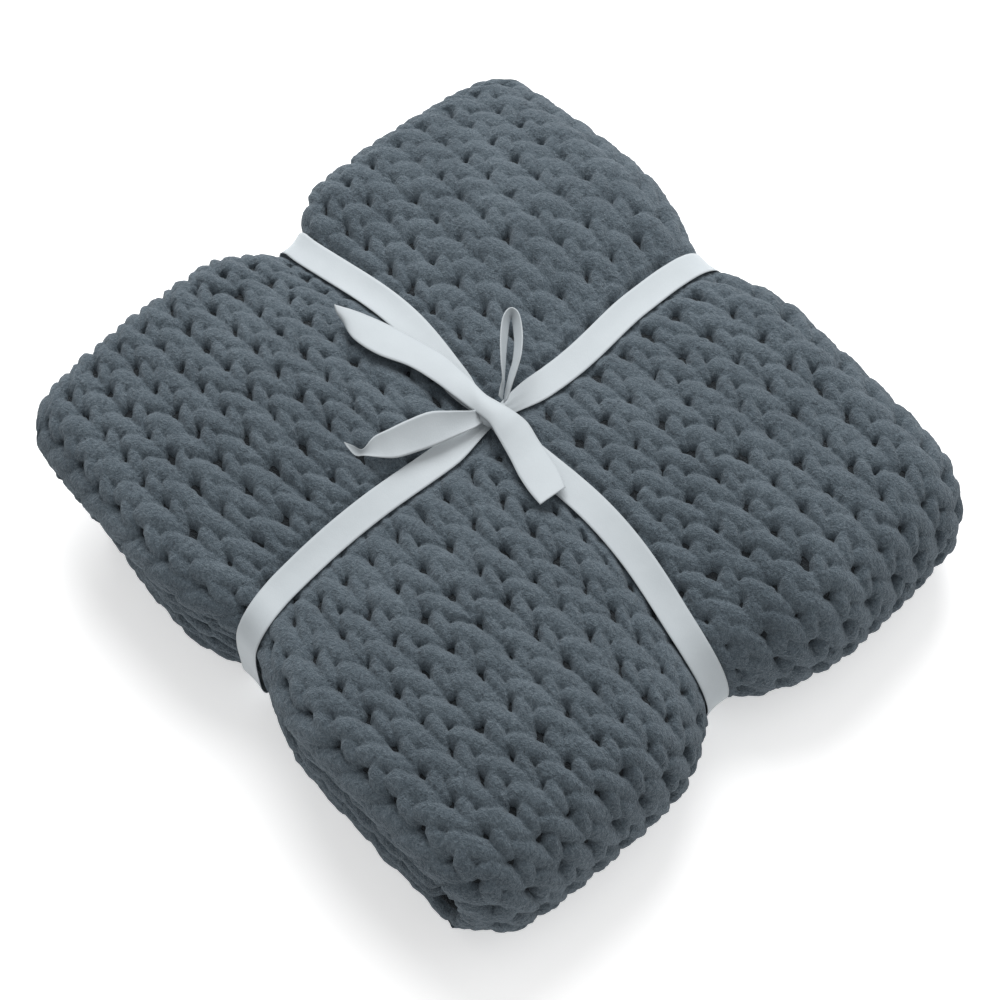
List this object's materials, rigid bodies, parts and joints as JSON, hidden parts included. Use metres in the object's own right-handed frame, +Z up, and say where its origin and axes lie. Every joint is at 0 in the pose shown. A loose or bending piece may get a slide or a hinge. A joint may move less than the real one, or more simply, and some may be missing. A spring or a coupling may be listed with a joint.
{
  "type": "folded knitted blanket tied with a ribbon",
  "caption": "Chunky chenille-knit throw folded into a soft square bundle and tied crosswise with a satin ribbon that ends in a bow.",
  "frame": {"origin": "middle of the whole object's box, on the surface that it rests on", "axes": "+X along the columns of knitting, towards the rolled side; +Y across the columns; +Z up"},
  "size_m": [0.475, 0.442, 0.1312],
  "materials": {
    "chenille_knit": "matte velvety slate-grey chenille yarn",
    "satin_ribbon": "soft satin, pale silver-grey"
  },
  "bodies": {
    "root": {"blanket": "chenille_knit", "ribbon": "satin_ribbon"}
  },
  "joints": []
}
